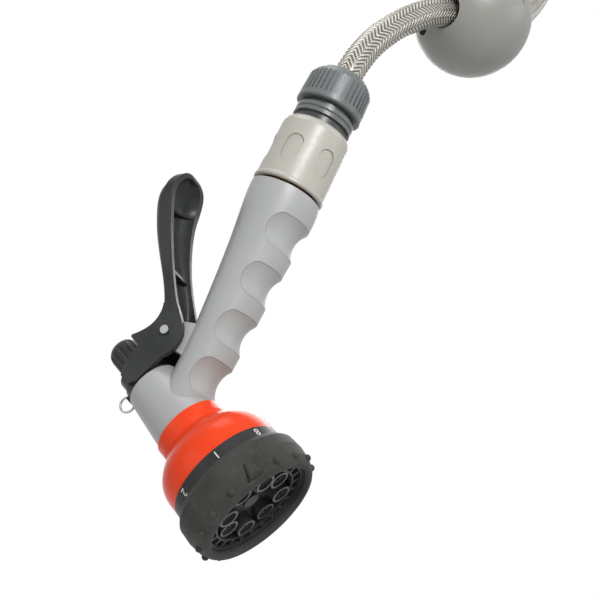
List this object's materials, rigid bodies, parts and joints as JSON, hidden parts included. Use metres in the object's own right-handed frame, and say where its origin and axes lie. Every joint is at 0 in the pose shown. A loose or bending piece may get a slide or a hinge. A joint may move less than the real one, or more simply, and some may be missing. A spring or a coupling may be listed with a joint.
{
  "type": "rear-lever multi-pattern spray gun with quick connector, short hose and stopper ball",
  "caption": "Rear-lever spray gun with a rotating spray-pattern dial, on a snap connector and a short braided hose with a clamped stopper ball and a plug end.",
  "frame": {"origin": "on the supply plug's axis, at the middle of the plain cylindrical end of its nose", "axes": "+Z along the supply plug's axis, out of its tip; the gun hangs below with its plane of symmetry parallel to XZ, its barrel towards +X and down"},
  "size_m": [0.1816, 0.1641, 0.4221],
  "materials": {
    "grey_shell": "fine matte",
    "charcoal_lever": "semi-gloss",
    "braid": "clear cover over steel braid",
    "black_trim": "satin",
    "seal_rubber": "matte",
    "brass": "turned",
    "spring_steel": "satin",
    "steel_pin": "bright",
    "inner_plastic": "satin",
    "orange_bell": "gloss",
    "label_band": "satin with pale numerals",
    "dial_face": "satin",
    "dial_rubber": "matte",
    "sleeve_grey": "satin",
    "ring_grey": "satin",
    "nut_grey": "satin",
    "ball_grey": "satin",
    "insert_grey": "satin"
  },
  "bodies": {
    "supply": {"hose": "braid", "connector_body": "black_trim", "locking_ring": "spring_steel", "snap_ring": "spring_steel", "sleeve_spring": "spring_steel", "stop_ring": "ring_grey", "hose_nut": "nut_grey", "hose_collet": "inner_plastic", "ball_front": "ball_grey", "ball_back": "ball_grey", "ball_liner": "seal_rubber", "ball_screws": "steel_pin", "ball_nuts": "steel_pin", "supply_plug": "black_trim", "supply_oring": "seal_rubber", "supply_nut": "nut_grey", "supply_collet": "inner_plastic"},
    "sleeve": {"release_sleeve": "sleeve_grey"},
    "gun": {"gun_body": "grey_shell", "inlet_plug": "brass", "inlet_oring": "seal_rubber", "gland_nut": "black_trim", "stem_oring": "seal_rubber", "packing_washer": "brass", "return_spring": "spring_steel", "valve_seat": "inner_plastic", "pivot_pin": "steel_pin", "pin_retainer": "spring_steel", "bell_cover": "orange_bell", "label_band": "label_band", "port_plate": "inner_plastic", "plate_screws": "steel_pin", "port_seal": "seal_rubber", "detent_ball": "steel_pin", "detent_spring": "spring_steel", "centre_screw": "steel_pin", "screw_washer": "steel_pin"},
    "lever": {"lever": "charcoal_lever"},
    "stem": {"valve_stem": "brass", "valve_plug": "seal_rubber", "plug_clip": "spring_steel", "draw_collar": "black_trim", "trunnion_pin": "steel_pin"},
    "knob": {"flow_knob": "black_trim"},
    "dial": {"dial_back": "inner_plastic", "nozzle_face": "dial_face", "dial_grip": "dial_rubber", "face_plug": "dial_face", "jet_insert": "insert_grey", "shower_insert": "insert_grey", "cone_insert": "insert_grey", "mist_insert": "insert_grey", "flat_insert": "insert_grey", "centre_insert": "insert_grey", "soaker_insert": "insert_grey", "full_insert": "insert_grey"},
    "ring": {"hanging_ring": "steel_pin"}
  },
  "joints": [
    {"name": "gun_swivel", "type": "hinge", "parent": "supply", "child": "gun", "pos_m": [-0.09361, -0.12, -0.2526], "axis": [0.3338, 0, 0.9426], "continuous": true},
    {"name": "sleeve_slide", "type": "slide", "parent": "supply", "child": "sleeve", "axis": [0.3338, 0, 0.9426], "range_m": [0, 0.0032], "stiffness_N_per_m": 900, "springref_m": -0.003, "deforming": ["sleeve_spring"]},
    {"name": "lever_pivot", "type": "hinge", "parent": "gun", "child": "lever", "pos_m": [-0.13726, -0.12, -0.32912], "axis": [0, 1, 0], "range_deg": [0, 18], "stiffness_Nm_per_rad": 0.8, "springref_deg": -20.05},
    {"name": "stem_slide", "type": "slide", "parent": "gun", "child": "stem", "axis": [-0.7431, 0, 0.6691], "range_m": [0, 0.0066], "deforming": ["return_spring"]},
    {"name": "knob_turn", "type": "hinge", "parent": "stem", "child": "knob", "pos_m": [-0.15727, -0.12, -0.33825], "axis": [0.7431, 0, -0.6691], "range_deg": [0, 270]},
    {"name": "dial_turn", "type": "hinge", "parent": "gun", "child": "dial", "pos_m": [-0.10227, -0.12, -0.38777], "axis": [0.7431, 0, -0.6691], "continuous": true},
    {"name": "ring_swing", "type": "hinge", "parent": "gun", "child": "ring", "pos_m": [-0.1528, -0.12, -0.356], "axis": [0.7431, 0, -0.6691], "range_deg": [-40, 40]}
  ],
  "couplings": [
    {"joint": "stem_slide", "follows": "lever_pivot", "m_per_rad": 0.0204}
  ]
}
